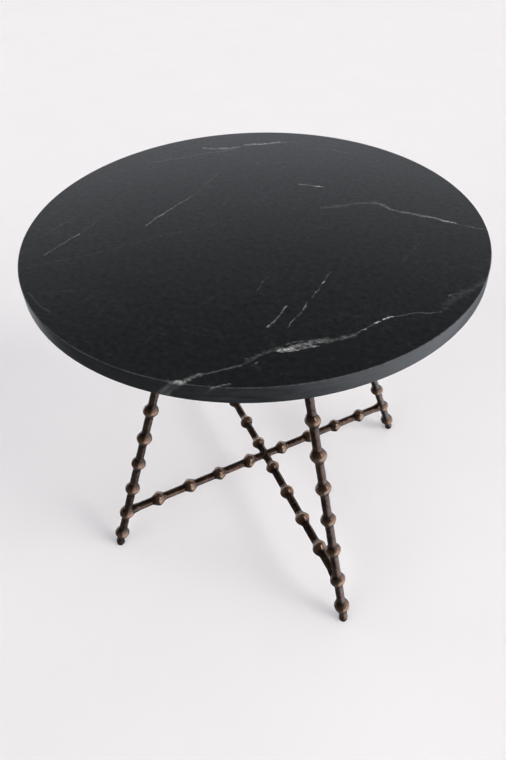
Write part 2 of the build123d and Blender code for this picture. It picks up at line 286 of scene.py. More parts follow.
def cast_rod(name, placing, values):
    """One beaded rod from the tree, as a plain mesh in its place."""
    piece = put_in_scene(name, bpy.data.meshes.new(name))
    modifier = piece.modifiers.new("beaded rod", "NODES")
    modifier.node_group = rod_tree
    length = values["High"] - values["Low"]
    values = {"Bronze": bronze, "Rings": round(length / ring_spacing), **values}
    for item in rod_tree.interface.items_tree:
        if item.in_out == "INPUT" and item.name in values:
            modifier[item.identifier] = values[item.name]
    mesh = final_mesh(piece)
    piece.modifiers.clear()
    piece.data = mesh
    mesh.transform(placing)
    return piece


rod_tree = beaded_rod_tree()
bronze = patinated_bronze()
legs = {}
for seed, (corner, azimuth) in enumerate(leg_azimuths.items()):
    turn = Matrix.Rotation(math.radians(azimuth), 4, "Z")
    stand = Matrix.Translation((leg_floor_radius, 0, 0)) @ Matrix.Rotation(-splay, 4, "Y")
    leg = cast_rod(f"leg_{corner}_casting", turn @ stand, {
        "Low": leg_foot_height / math.cos(splay), "High": leg_head_height / math.cos(splay),
        "First Bead": leg_first_bead, "Last Bead": leg_bead_count - 1,
        "End Bead Lift": foot_bead_lift, "Collar Rise": 0.0,
        "Low Slope": math.tan(splay), "High Slope": math.tan(splay), "Seed": 11 + seed,
    })
    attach(leg, "table")
    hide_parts(f"leg_{corner}")
    legs[corner] = leg

# ---------------------------------------------------------------------------------------
# Stretchers. Two beaded bronze rods cross low down between the legs. One runs whole from
# front left to back right and the other butts on it in two halves. Each end widens to a
# short collar, pinned and brazed into the second bead of its leg.
seat_from_joint = 9 * mm
collar_radius = 10 * mm
stretcher_bead_count = 4
joint_along_leg = leg_first_bead + bead_pitch
joint_radius = leg_floor_radius - joint_along_leg * math.sin(splay)
stretcher_height = joint_along_leg * math.cos(splay)
seat_radius = joint_radius - seat_from_joint
half_start = 3 * mm
along_x = Matrix.Rotation(math.radians(90), 4, "Y")
lie_along_x = Matrix.Translation((0, 0, stretcher_height)) @ along_x

# the leg each one points at, where it starts, its first bead from the crossing, its seed
stretchers = {
    "through_stretcher": ("back_right", -seat_radius, 43.5 * mm, 31),
    "half_stretcher_front_right": ("front_right", half_start, 40.9 * mm, 37),
    "half_stretcher_back_left": ("back_left", half_start, 37.0 * mm, 43),
}
for node, (corner, low, first_bead, seed) in stretchers.items():
    turn = Matrix.Rotation(math.radians(leg_azimuths[corner]), 4, "Z")
    stretcher = cast_rod(f"{node}_casting", turn @ lie_along_x, {
        "Low": low, "High": seat_radius, "First Bead": first_bead,
        "Last Bead": stretcher_bead_count - 1, "Collar Rise": collar_radius - rod_radius,
        "Low Slope": 0.0, "High Slope": 0.0, "Seed": seed,
    })
    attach(stretcher, "table")
    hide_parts(node)

# ---------------------------------------------------------------------------------------
# Brazing. A thin run of bronze fills the seam where each collar meets its leg, and where
# the half stretchers meet the whole one. It is left a little greener than the castings.
seam_points = 72
leg_seam_radius = 0.9 * mm
crossing_seam_radius = 1.4 * mm
crossing_stand_off = 0.6 * mm
search_run = 30 * mm     # the line of a seam is looked for outwards, from this far inside it


def clouded(name, noise, dark, light, height, strength, depth):
    """A material clouded between two colours by noise, with relief of this strength and
    depth. The relief follows a noise of its own, or the clouds where height is None."""
    material, tree, shader, here = start_material(name)
    clouds = add(tree, "ShaderNodeTexNoise", {"Vector": here, **noise})
    colour = add(tree, "ShaderNodeMix", {0: clouds, 6: linear(dark), 7: linear(light)}, out=2,
                 data_type="RGBA")
    tree.links.new(colour, shader.inputs["Base Color"])
    relief = clouds
    if height is not None:
        relief = add(tree, "ShaderNodeTexNoise", {"Vector": here, **height})
    bump = add(tree, "ShaderNodeBump", {"Strength": strength, "Distance": depth, "Height": relief})
    tree.links.new(bump, shader.inputs["Normal"])
    return material, tree, shader, clouds


def brazing_bronze():
    """Bronze filler wire, wiped while hot: dull, with a green-grey cast."""
    material, _, shader, _ = clouded(
        "bronze_filler_wire_wiped", {"Scale": 220.0, "Detail": 4.0}, "#1d1c17", "#4a4a3c",
        None, 0.4, 0.3 * mm)
    shader.inputs["Metallic"].default_value = 0.8
    shader.inputs["Roughness"].default_value = 0.42
    return material


def brazed_seam(name, points, thickness):
    """A closed run of filler through the points, uneven in thickness as wiped by hand."""
    curve = bpy.data.curves.new(name, "CURVE")
    curve.dimensions = "3D"
    curve.bevel_depth = thickness
    curve.bevel_resolution = 3
    spline = curve.splines.new("POLY")
    spline.points.add(len(points) - 1)
    for index, (point, place) in enumerate(zip(spline.points, points)):
        point.co = (*place, 1.0)
        point.radius = 1.0 + 0.16 * math.sin(index * 2.7) + 0.1 * math.sin(index * 1.3 + 1.0)
    spline.use_cyclic_u = True
    run = put_in_scene(name + "_run", curve)
    mesh = final_mesh(run)
    bpy.data.objects.remove(run)
    mesh.polygons.foreach_set("use_smooth", [True] * len(mesh.polygons))
    mesh.materials.clear()
    mesh.materials.append(filler)
    piece = put_in_scene(name, mesh)
    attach(piece, "table")
    return piece


filler = brazing_bronze()
bpy.context.view_layer.update()
for corner, azimuth in leg_azimuths.items():
    turn = Matrix.Rotation(math.radians(azimuth), 4, "Z")
    outward = turn @ Vector((1, 0, 0))
    seam = []
    for step in range(seam_points):
        angle = 2 * math.pi * step / seam_points
        across, up = collar_radius * math.cos(angle), collar_radius * math.sin(angle)
        start = Vector((seat_radius - search_run, across, stretcher_height + up))
        hit, place, _, _ = legs[corner].ray_cast(turn @ start, outward)
        seam.append(place if hit else turn @ Vector((seat_radius, start.y, start.z)))
    brazed_seam(f"braze_{corner}", seam, leg_seam_radius)
for corner in ("front_right", "back_left"):
    turn = Matrix.Rotation(math.radians(leg_azimuths[corner]), 4, "Z")
    seam = []
    for step in range(seam_points):
        angle = 2 * math.pi * step / seam_points
        across, up = rod_radius * math.cos(angle), rod_radius * math.sin(angle)
        out = abs(across) + crossing_stand_off
        seam.append(turn @ Vector((out, across, stretcher_height + up)))
    brazed_seam(f"braze_crossing_{corner}", seam, crossing_seam_radius)

# ---------------------------------------------------------------------------------------
# Leg flanges and mounting plate. The head of each leg is brazed into a round bronze
# flange, and three M6 screws hold each flange up to a steel plate 8 mm thick, sprayed with
# black powder and baked.


def powder_coat():
    """Black polyester powder coat: satin, with the fine orange peel of baked powder."""
    material, tree, shader, dust = clouded(
        "black_powder_coated_steel", {"Scale": 30.0, "Detail": 6.0}, "#161617", "#242425",
        {"Scale": 600.0, "Detail": 2.0}, 0.25, 0.3 * mm)
    roughness = add(tree, "ShaderNodeMapRange", {0: dust, 1: 0.3, 2: 0.7, 3: 0.38, 4: 0.52})
    tree.links.new(roughness, shader.inputs["Roughness"])
    return material


def zinc_plate():
    """Zinc-plated steel: bright, faintly blue and yellow in patches, finely scratched."""
    material, tree, shader, tint = clouded(
        "zinc_plated_steel", {"Scale": 160.0, "Detail": 3.0}, "#a9adb2", "#b5b09f",
        {"Scale": 2200.0, "Detail": 2.0}, 0.2, 0.1 * mm)
    shader.inputs["Metallic"].default_value = 1.0
    roughness = add(tree, "ShaderNodeMapRange", {0: tint, 1: 0.3, 2: 0.7, 3: 0.24, 4: 0.4})
    tree.links.new(roughness, shader.inputs["Roughness"])
    return material


def finish_nodes(material, *names):
    """Gives CAD nodes a material in every slot."""
    for name in names:
        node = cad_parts[name]
        if not node.material_slots:
            node.data.materials.append(material)
        for place in node.material_slots:
            place.material = material


zinc = zinc_plate()
finish_nodes(bronze, *[f"leg_flange_{corner}" for corner in leg_azimuths])
finish_nodes(powder_coat(), "mounting_plate")
finish_nodes(zinc, "flange_screws", "top_screws", "top_washers", "crossing_dowel",
             "stretcher_dowels")

# ---------------------------------------------------------------------------------------
# Cushions and inserts. Eight rubber discs bed the slab on the plate, and four M8 screws
# run up through it into brass sleeves set in the stone with epoxy.


def matt_rubber():
    """Black natural rubber sheet: matt, with a dusty bloom."""
    material, _, shader, _ = clouded(
        "black_rubber_sheet", {"Scale": 120.0, "Detail": 6.0}, "#131313", "#2a2a29",
        None, 0.3, 0.2 * mm)
    shader.inputs["Roughness"].default_value = 0.8
    return material


def turned_brass():
    """Free-cutting brass, turned: fine rings round the axis of each sleeve."""
    material, tree, shader, here = start_material("turned_brass")
    tarnish = add(tree, "ShaderNodeTexNoise", {"Vector": here, "Scale": 200.0, "Detail": 4.0})
    colour = add(tree, "ShaderNodeMix", {0: tarnish, 6: linear("#b5943f"), 7: linear("#d8bb6a")},
                 out=2, data_type="RGBA")
    tree.links.new(colour, shader.inputs["Base Color"])
    shader.inputs["Metallic"].default_value = 1.0
    shader.inputs["Roughness"].default_value = 0.3
    rings = add(tree, "ShaderNodeTexWave", {"Vector": here, "Scale": 900.0}, out="Fac",
                bands_direction="Z")
    bump = add(tree, "ShaderNodeBump", {"Strength": 0.2, "Distance": 0.05 * mm, "Height": rings})
    tree.links.new(bump, shader.inputs["Normal"])
    return material


finish_nodes(matt_rubber(), "cushion_pads")
finish_nodes(turned_brass(), "stone_inserts")

# ---------------------------------------------------------------------------------------
# Stone top. One round slab 28 mm thick, sawn from black stone and honed, with white veins
# that run right through it and so show down its edge too. The edges are eased by hand with
# a fine stone. Four blind holes in the underside take the brass sleeves.
slab_low, slab_high = (Vector(corner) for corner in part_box("stone_top"))
slab_radius = (slab_high.x - slab_low.x) / 2
arris = 1.6 * mm
arris_steps = 5
slab_sides = 288
insert_hole_radius = 6.2 * mm
insert_hole_depth = 19 * mm
insert_circle_radius = 150 * mm

# which way the layers of the stone lie, and so the way its veins are drawn out, in degrees
bedding = {"flat": -4, "rising": 40, "steep": 62}
widest_plain_vein = 2.5          # half width in mm, above which a vein is shredded

# veins, as (bedding, half width in mm, whiteness, how broken up, route in mm from the centre)
veins = [
    ("rising", 13.0, 1.0, 0.0, [(36, -404), (46, -395)]),
    ("rising", 8.0, 0.5, 0.1, [(46, -396), (56, -385), (64, -376)]),
    ("rising", 2.2, 0.17, 0.3, [(62, -377), (71, -371), (88, -358), (106, -346)]),
    ("rising", 2.0, 0.14, 0.5, [(104, -346), (118, -332), (130, -314), (142, -302)]),
    ("rising", 10.0, 0.16, 0.5, [(112, -332), (122, -322), (134, -306), (144, -298)]),
    ("rising", 1.5, 0.4, 0.3, [(124, -336), (127, -333)]),
    ("rising", 8.0, 0.95, 0.1, [(143, -302), (160, -293)]),
    ("rising", 11.0, 0.6, 0.35, [(158, -293), (182, -279)]),
    ("rising", 12.0, 0.4, 0.5, [(178, -278), (200, -263)]),
    ("rising", 3.2, 0.7, 0.3, [(146, -304), (168, -294), (192, -278)]),
    ("rising", 2.6, 0.45, 0.6, [(150, -288), (172, -275), (197, -261)]),
    ("rising", 8.0, 0.28, 0.55, [(194, -269), (214, -258), (236, -242)]),
    ("rising", 3.0, 0.3, 0.6, [(232, -245), (244, -228), (254, -210)]),
    ("rising", 1.8, 0.6, 0.15, [(241, -231), (246, -227)]),
    ("rising", 1.6, 0.9, 0.1, [(254, -210), (260, -205)]),
    ("rising", 2.4, 1.0, 0.1, [(264, -199), (276, -189)]),
    ("rising", 1.8, 0.17, 0.4, [(275, -189), (302, -171), (338, -158)]),
    ("rising", 15.0, 0.13, 0.7, [(340, -148), (352, -122), (374, -92), (396, -56)]),
    ("steep", 3.4, 0.34, 0.5, [(346, -117), (353, -109)]),
    ("steep", 2.2, 0.42, 0.7, [(117, -264), (120, -246), (125, -213)]),
    ("steep", 3.2, 0.8, 0.2, [(115, -264), (118, -256)]),
    ("steep", 1.8, 0.34, 0.85, [(142, -256), (149, -222), (151, -196)]),
    ("steep", 2.2, 0.5, 0.4, [(150, -210), (151, -202)]),
    ("steep", 3.0, 0.5, 0.5, [(156, -173), (159, -160)]),
    ("steep", 2.6, 0.85, 0.2, [(161, -144), (162, -136)]),
    ("steep", 1.7, 0.16, 0.7, [(155, -182), (161, -140), (166, -112)]),
    ("steep", 1.5, 0.15, 0.7, [(73, -192), (74, -164), (78, -146)]),
    ("steep", 1.8, 0.28, 0.45, [(-180, -72), (-174, -42), (-162, 4), (-149, 44)]),
    ("steep", 2.4, 0.4, 0.3, [(-172, -38), (-168, -24)]),
    ("steep", 1.6, 0.18, 0.5, [(-149, 44), (-142, 84), (-142, 114), (-138, 160)]),
    ("rising", 2.4, 0.07, 0.6, [(-58, -30), (-93, -54), (-140, -100), (-172, -130),
                                (-211, -170), (-242, -200)]),
    ("rising", 2.4, 0.08, 0.7, [(-242, -200), (-268, -222), (-296, -245)]),
    ("rising", 9.0, 0.5, 0.4, [(-219, 258), (-190, 266), (-160, 274), (-148, 288)]),
    ("rising", 8.0, 0.85, 0.3, [(-138, 300), (-111, 313), (-92, 323), (-68, 338)]),
    ("rising", 4.0, 0.2, 0.5, [(-72, 335), (-38, 350), (-8, 356)]),
    ("rising", 5.0, 0.2, 0.5, [(-152, 270), (-188, 246), (-204, 234), (-249, 194), (-302, 153)]),
    ("rising", 4.0, 0.13, 0.6, [(-165, 242), (-100, 222), (-64, 226), (-20, 246)]),
    ("flat", 12.0, 0.16, 0.6, [(100, 79), (129, 96), (159, 115), (193, 128)]),
    ("flat", 10.0, 0.36, 0.45, [(190, 127), (222, 110), (266, 105), (286, 104)]),
    ("flat", 6.5, 0.62, 0.3, [(284, 105), (308, 103), (316, 98), (336, 97)]),
    ("flat", 6.0, 0.18, 0.5, [(334, 97), (370, 91), (398, 90)]),
    ("flat", 5.0, 0.45, 0.4, [(32, 156), (58, 160), (74, 160)]),
    ("flat", 6.0, 0.7, 0.2, [(68, 160), (79, 161)]),
    ("steep", 1.8, 0.28, 0.5, [(-276, -130), (-281, -150), (-287, -176), (-294, -207)]),
    ("steep", 2.8, 0.6, 0.2, [(-276, -132), (-278, -148)]),
    ("steep", 1.6, 0.16, 0.5, [(-276, -122), (-272, -98), (-276, -76)]),
    ("steep", 1.8, 0.15, 0.5, [(-330, -150), (-326, -118), (-318, -86)]),
    ("steep", 2.4, 0.06, 0.8, [(24, -206), (10, -240), (-16, -284), (-26, -312), (-31, -342)]),
    ("rising", 2.0, 0.05, 0.5, [(-146, -262), (-192, -276), (-236, -292)]),
    ("rising", 2.4, 0.07, 0.5, [(-190, -330), (-222, -318), (-254, -298)]),
    ("flat", 5.0, 0.12, 0.6, [(2, 326), (46, 332), (90, 324)]),
    ("flat", 3.0, 0.4, 0.3, [(80, 326), (88, 323)]),
    ("steep", 1.4, 0.1, 0.5, [(270, -46), (278, -10), (286, 24)]),
    ("rising", 4.5, 0.4, 0.5, [(88, -391), (100, -382), (108, -378)]),
]


def vein_mask(tree, here, breaks, shreds, half_width, whiteness, broken, route):
    """How white one vein makes the stone at a place: the distance to the nearest part of
    its route, faded out over its half width, with shreds in it where it is wide."""
    nearest = None
    points = [Vector((x, y, 0)) * mm for x, y in route]
    for start, end in zip(points, points[1:]):
        run = end - start
        offset = add(tree, "ShaderNodeVectorMath", {0: here, 1: start}, operation="SUBTRACT")
        share = add(tree, "ShaderNodeVectorMath", {0: offset, 1: run / run.length_squared},
                    out="Value", operation="DOT_PRODUCT")
        share = add(tree, "ShaderNodeClamp", {"Value": share})
        foot = add(tree, "ShaderNodeVectorMath", {0: run, "Scale": share}, operation="SCALE")
        distance = add(tree, "ShaderNodeVectorMath", {0: offset, 1: foot}, out="Value",
                       operation="DISTANCE")
        if nearest is None:
            nearest = distance
        else:
            nearest = add(tree, "ShaderNodeMath", {0: nearest, 1: distance}, operation="MINIMUM")
    band = add(tree, "ShaderNodeMapRange", {0: nearest, 1: 0.0, 2: half_width * mm, 3: 1.0, 4: 0.0},
               interpolation_type="SMOOTHSTEP")
    if half_width > widest_plain_vein:
        band = add(tree, "ShaderNodeMath", {0: band, 1: 0.5, 2: shreds}, operation="MULTIPLY_ADD")
        band = add(tree, "ShaderNodeMapRange", {0: band, 1: 0.78, 2: 1.12, 3: 0.0, 4: 1.0})
    strength = add(tree, "ShaderNodeMapRange", {
        0: breaks, 1: 0.5 - 0.2 * (1 - broken), 2: 0.5 + 0.14 * broken,
        3: whiteness * (1 - broken), 4: whiteness,
    })
    return add(tree, "ShaderNodeMath", {0: band, 1: strength}, operation="MULTIPLY")


def honed_black_stone():
    """Black soapstone, honed to about 400 grit: dark and soft in its shine, faintly
    clouded along its bedding, with calcite veins whiter than the stone."""
    material, tree, shader, here = start_material("honed_black_soapstone")
    height = add(tree, "ShaderNodeSeparateXYZ", {0: here}, out="Z")
    depth = add(tree, "ShaderNodeMath", {0: slab_high.z, 1: height}, operation="SUBTRACT")
    slant = add(tree, "ShaderNodeVectorMath", {0: (0.75, 0.0, 0.0), "Scale": depth},
                operation="SCALE")
    flat = add(tree, "ShaderNodeVectorMath", {0: here, 1: (1.0, 1.0, 0.0), 2: slant},
               operation="MULTIPLY_ADD")
    wander = add(tree, "ShaderNodeTexNoise",
                 {"Vector": flat, "Scale": 32.0, "Detail": 5.0, "Roughness": 0.68}, out="Color")
    drift = add(tree, "ShaderNodeVectorMath", {0: wander, 1: (0.5, 0.5, 0.5)}, operation="SUBTRACT")
    combed = add(tree, "ShaderNodeVectorMath", {0: drift, 1: (4 * mm, 4 * mm, 0.0), 2: flat},
                 operation="MULTIPLY_ADD")
    wander = add(tree, "ShaderNodeVectorMath", {0: drift, 1: (15 * mm, 15 * mm, 0.0), 2: flat},
                 operation="MULTIPLY_ADD")
    wander = add(tree, "ShaderNodeVectorMath", {0: wander, 1: (1.0, 1.0, 0.0)},
                 operation="MULTIPLY")
    breaks = add(tree, "ShaderNodeTexNoise",
                 {"Vector": flat, "Scale": 110.0, "Detail": 4.0, "Roughness": 0.7})

    # shreds drawn out along each bedding, 3 mm apart and 30 mm long
    shreds = {}
    for lie, angle in bedding.items():
        drawn_out = add(tree, "ShaderNodeMapping", {
            "Vector": combed, "Rotation": (0, 0, math.radians(-angle)), "Scale": (34.0, 330.0, 1.0),
        })
        shreds[lie] = add(tree, "ShaderNodeTexNoise",
                          {"Vector": drawn_out, "Scale": 1.0, "Detail": 3.0, "Roughness": 0.65})
    white = None
    for lie, half_width, whiteness, broken, route in veins:
        mask = vein_mask(tree, wander, breaks, shreds[lie], half_width, whiteness, broken, route)
        if white is None:
            white = mask
        else:
            white = add(tree, "ShaderNodeMath", {0: white, 1: mask}, operation="MAXIMUM")

    # hairlines: the level lines of slow noise along the bedding, let through here and there
    drawn_out = add(tree, "ShaderNodeMapping", {
        "Vector": wander, "Rotation": (0, 0, math.radians(-38)), "Scale": (3.2, 15.0, 1.0),
    })
    slow = add(tree, "ShaderNodeTexNoise",
               {"Vector": drawn_out, "Scale": 1.0, "Detail": 4.0, "Roughness": 0.5})
    hair = add(tree, "ShaderNodeMath", {0: slow, 1: 0.5}, operation="SUBTRACT")
    hair = add(tree, "ShaderNodeMath", {0: hair}, operation="ABSOLUTE")
    hair = add(tree, "ShaderNodeMapRange", {0: hair, 1: 0.0, 2: 0.012, 3: 1.0, 4: 0.0})
    patch = add(tree, "ShaderNodeMapRange", {0: breaks, 1: 0.5, 2: 0.72, 3: 0.0, 4: 0.07})
    hair = add(tree, "ShaderNodeMath", {0: hair, 1: patch}, operation="MULTIPLY")
    white = add(tree, "ShaderNodeMath", {0: white, 1: hair}, operation="MAXIMUM")

    # crumbs of dark stone 4 mm across break the white up, and the sawn edge shows it less
    crumbs = add(tree, "ShaderNodeTexNoise",
                 {"Vector": flat, "Scale": 260.0, "Detail": 2.0, "Roughness": 0.7})
    crumbs = add(tree, "ShaderNodeMapRange", {0: crumbs, 1: 0.36, 2: 0.6, 3: 0.2, 4: 1.0})
    white = add(tree, "ShaderNodeMath", {0: white, 1: crumbs}, operation="MULTIPLY")
    on_edge = add(tree, "ShaderNodeMapRange", {0: depth, 1: 0.6 * mm, 2: 4 * mm, 3: 1.0, 4: 0.13})
    white = add(tree, "ShaderNodeMath", {0: white, 1: on_edge}, operation="MULTIPLY")

    cloud = add(tree, "ShaderNodeMapping", {
        "Vector": here, "Rotation": (0, 0, math.radians(-30)), "Scale": (7.0, 16.0, 16.0),
    })
    cloud = add(tree, "ShaderNodeTexNoise",
                {"Vector": cloud, "Scale": 1.0, "Detail": 8.0, "Roughness": 0.66})
    grain = add(tree, "ShaderNodeTexNoise",
                {"Vector": here, "Scale": 420.0, "Detail": 4.0, "Roughness": 0.7})
    clouds = add(tree, "ShaderNodeMapRange", {0: cloud, 1: 0.34, 2: 0.68, 3: 0.0, 4: 1.0})
    body = add(tree, "ShaderNodeMix", {0: clouds, 6: linear("#090a0b"), 7: linear("#101113")},
               out=2, data_type="RGBA")
    mottle = add(tree, "ShaderNodeMath", {0: shreds["flat"], 1: 0.6, 2: breaks},
                 operation="MULTIPLY_ADD")
    mottle = add(tree, "ShaderNodeMapRange", {0: mottle, 1: 0.55, 2: 1.05, 3: 0.0, 4: 1.0})
    mottle = add(tree, "ShaderNodeMix", {0: on_edge, 2: 0.5, 3: mottle})
    lifted = add(tree, "ShaderNodeMath", {0: mottle, 1: 0.5}, operation="MULTIPLY")
    body = add(tree, "ShaderNodeMix", {0: lifted, 6: body, 7: linear("#191b1c")}, out=2,
               data_type="RGBA")
    speck = add(tree, "ShaderNodeMapRange", {0: grain, 1: 0.5, 2: 0.8, 3: 0.0, 4: 0.6})
    body = add(tree, "ShaderNodeMix", {0: speck, 6: body, 7: linear("#232627")}, out=2,
               data_type="RGBA")

    # the upright edge keeps level streaks from the belt. It is stained darker and greener
    # left of the front vein, and its eased arris carries a painted highlight, a thin paler line
    streaks = add(tree, "ShaderNodeMapping", {"Vector": here, "Scale": (25.0, 25.0, 420.0)})
    streaks = add(tree, "ShaderNodeTexNoise",
                  {"Vector": streaks, "Scale": 1.0, "Detail": 5.0, "Roughness": 0.6})
    streaks = add(tree, "ShaderNodeMapRange", {0: streaks, 1: 0.35, 2: 0.7, 3: 0.0, 4: 0.8})
    belt = add(tree, "ShaderNodeMapRange", {0: depth, 1: 1.0 * mm, 2: 2.2 * mm, 3: 0.0, 4: 1.0})
    belt = add(tree, "ShaderNodeMath", {0: belt, 1: streaks}, operation="MULTIPLY")
    across = add(tree, "ShaderNodeSeparateXYZ", {0: here})
    left_of_vein = add(tree, "ShaderNodeMapRange",
                       {0: across, 1: 25 * mm, 2: 70 * mm, 3: 0.6, 4: 0.0})
    stain = add(tree, "ShaderNodeMapping", {"Vector": here, "Scale": (40.0, 40.0, 130.0)})
    stain = add(tree, "ShaderNodeTexNoise",
                {"Vector": stain, "Scale": 1.0, "Detail": 5.0, "Roughness": 0.7})
    stain = add(tree, "ShaderNodeMapRange", {0: stain, 1: 0.4, 2: 0.62, 3: 0.0, 4: 0.4})
    stain = add(tree, "ShaderNodeMath", {0: stain, 1: left_of_vein}, operation="ADD")
    dusty = add(tree, "ShaderNodeMix", {0: stain, 6: linear("#2f3336"), 7: linear("#181b17")},
                out=2, data_type="RGBA")
    body = add(tree, "ShaderNodeMix", {0: belt, 6: body, 7: dusty}, out=2, data_type="RGBA")
    reach = add(tree, "ShaderNodeVectorMath", {0: here, 1: (1.0, 1.0, 0.0)}, operation="MULTIPLY")
    reach = add(tree, "ShaderNodeVectorMath", {0: reach}, out="Value", operation="LENGTH")
    # painted highlight: a thin paler line round the top of the eased arris, broken into patches
    painted_arris_highlight = add(tree, "ShaderNodeMapRange", {
        0: reach, 1: slab_radius - 1.9 * mm, 2: slab_radius - 0.9 * mm, 3: 0.0, 4: 1.0,
    })
    painted_highlight_depth = add(tree, "ShaderNodeMapRange",
                    {0: depth, 1: 0.6 * mm, 2: 1.5 * mm, 3: 1.0, 4: 0.0})
    painted_arris_highlight = add(tree, "ShaderNodeMath", {0: painted_arris_highlight, 1: painted_highlight_depth}, operation="MULTIPLY")
    patchy = add(tree, "ShaderNodeMapRange", {0: breaks, 1: 0.35, 2: 0.65, 3: 0.2, 4: 0.9})
    painted_arris_highlight = add(tree, "ShaderNodeMath", {0: painted_arris_highlight, 1: patchy}, operation="MULTIPLY")
    body = add(tree, "ShaderNodeMix", {0: painted_arris_highlight, 6: body, 7: linear("#44484b")}, out=2,
               data_type="RGBA")
    colour = add(tree, "ShaderNodeMix", {0: white, 6: body, 7: linear("#c6c8c6")}, out=2,
                 data_type="RGBA")
    tree.links.new(colour, shader.inputs["Base Color"])
    roughness = add(tree, "ShaderNodeMapRange", {0: mottle, 1: 0.0, 2: 1.0, 3: 0.31, 4: 0.35})
    tree.links.new(roughness, shader.inputs["Roughness"])
    shine = add(tree, "ShaderNodeMapRange", {0: mottle, 1: 0.0, 2: 1.0, 3: 0.34, 4: 0.66})
    tree.links.new(shine, shader.inputs["Specular IOR Level"])
    shader.inputs["IOR"].default_value = 1.48
    bump = add(tree, "ShaderNodeBump", {"Strength": 0.12, "Distance": 0.2 * mm, "Height": grain})
    relief = add(tree, "ShaderNodeMath", {0: on_edge, 1: 0.12}, operation="MULTIPLY")
    bump = add(tree, "ShaderNodeBump",
               {"Strength": relief, "Distance": 0.3 * mm, "Height": breaks, "Normal": bump})
    tree.links.new(bump, shader.inputs["Normal"])
    return material


def slab_outline():
    """Points (radius, height) up the side of the slab, with a quarter round on each edge."""
    points = []
    for centre_height, first in ((slab_low.z + arris, -90), (slab_high.z - arris, 0)):
        for step in range(arris_steps + 1):
            angle = math.radians(first + 90 * step / arris_steps)
            radius = slab_radius - arris + arris * math.cos(angle)
            points.append((radius, centre_height + arris * math.sin(angle)))
    return points


def add_shell(shape, rings):
    """Adds one closed shell to a bmesh: rings of points, as (radius, height) all the way
    round, smooth up the side and capped flat at both ends."""
    made = []
    for ring in rings:
        made.append([])
        for side, (radius, height) in enumerate(ring):
            angle = 2 * math.pi * side / len(ring)
            point = (radius * math.cos(angle), radius * math.sin(angle), height)
            made[-1].append(shape.verts.new(point))
    for lower, upper in zip(made, made[1:]):
        for side in range(len(lower)):
            after = (side + 1) % len(lower)
            face = shape.faces.new((lower[side], lower[after], upper[after], upper[side]))
            face.smooth = True
    shape.faces.new(list(reversed(made[0])))
    shape.faces.new(made[-1])


def finished_mesh(shape, name):
    """Turns a bmesh into a mesh and lets go of it."""
    mesh = bpy.data.meshes.new(name)
    shape.to_mesh(mesh)
    shape.free()
    return mesh


def insert_hole_cutter():
    """Four upright cylinders where the brass sleeves go in."""
    shape = bmesh.new()
    on_circle = Matrix.Translation((insert_circle_radius, 0, slab_low.z))
    for azimuth in range(0, 360, 90):
        bmesh.ops.create_cone(
            shape, cap_ends=True, segments=32, radius1=insert_hole_radius,
            radius2=insert_hole_radius, depth=2 * insert_hole_depth,
            matrix=Matrix.Rotation(math.radians(azimuth), 4, "Z") @ on_circle,
        )
    return put_in_scene("insert_holes", finished_mesh(shape, "insert_holes"))


slab_shape = bmesh.new()
add_shell(slab_shape, [[point] * slab_sides for point in slab_outline()])
slab = put_in_scene("stone_slab", finished_mesh(slab_shape, "stone_slab"))
cutter = insert_hole_cutter()
boring = slab.modifiers.new("insert holes", "BOOLEAN")
boring.object = cutter
boring.operation = "DIFFERENCE"
boring.solver = "EXACT"
bored = final_mesh(slab)
slab.modifiers.clear()
slab.data = bored
bpy.data.objects.remove(cutter)
bored.materials.clear()
bored.materials.append(honed_black_stone())
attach(slab, "table")
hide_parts("stone_top")

# ---------------------------------------------------------------------------------------
# Levelling glides. A steel stem with an M8 thread screws up into each leg, turned by a
# thin spanner on its hexagon, and a nylon disc clipped over its button meets the floor.
thread_pitch = 1.25 * mm
thread_radius = 3.95 * mm
thread_depth = 0.65 * mm
thread_sides = 28
thread_steps_a_turn = 8
hexagon_flat = 6.5 * mm
hexagon_low, hexagon_high = 6.3 * mm, 8.8 * mm
hexagon_chamfer = 0.25 * mm
neck_radius = 3 * mm
button_radius = 5 * mm
button_low, button_high = 1.5 * mm, 4 * mm


def threaded_stem(name, centre, top):
    """One stem: button, neck, hexagon and thread, each a closed shell, in one mesh."""
    shape = bmesh.new()
    for radius, low, high in (
        (button_radius, button_low, button_high), (neck_radius, button_high, hexagon_low),
    ):
        bmesh.ops.create_cone(
            shape, cap_ends=True, segments=32, radius1=radius, radius2=radius, depth=high - low,
            matrix=Matrix.Translation((0, 0, (low + high) / 2)),
        )
    hexagon_corner = hexagon_flat / math.cos(math.pi / 6)
    hexagon = bmesh.ops.create_cone(
        shape, cap_ends=True, segments=6, radius1=hexagon_corner, radius2=hexagon_corner,
        depth=hexagon_high - hexagon_low,
        matrix=Matrix.Translation((0, 0, (hexagon_low + hexagon_high) / 2)),
    )
    edges = {edge for vert in hexagon["verts"] for edge in vert.link_edges}
    bmesh.ops.bevel(shape, geom=list(edges), offset=hexagon_chamfer, segments=2, affect="EDGES")
    rings = []
    count = round((top - hexagon_high) / thread_pitch * thread_steps_a_turn)
    for step in range(count + 1):
        height = hexagon_high + (top - hexagon_high) * step / count
        lead_in = min(1.0, (top - height) / thread_pitch)
        rings.append([])
        for side in range(thread_sides):
            wave = abs(((height / thread_pitch - side / thread_sides) % 1.0) * 2 - 1)
            rings[-1].append((thread_radius - thread_depth * max(wave, 1 - lead_in), height))
    add_shell(shape, rings)
    bmesh.ops.translate(shape, verts=shape.verts, vec=centre)
    mesh = finished_mesh(shape, name)
    mesh.materials.append(zinc)
    return put_in_scene(name, mesh)


def moulded_nylon():
    """Black nylon 6, moulded: satin, with a fine spark-eroded grain."""
    material, _, shader, _ = clouded(
        "moulded_black_nylon", {"Scale": 260.0, "Detail": 5.0}, "#101011", "#232324",
        {"Scale": 1400.0, "Detail": 3.0}, 0.25, 0.1 * mm)
    shader.inputs["Roughness"].default_value = 0.38
    return material


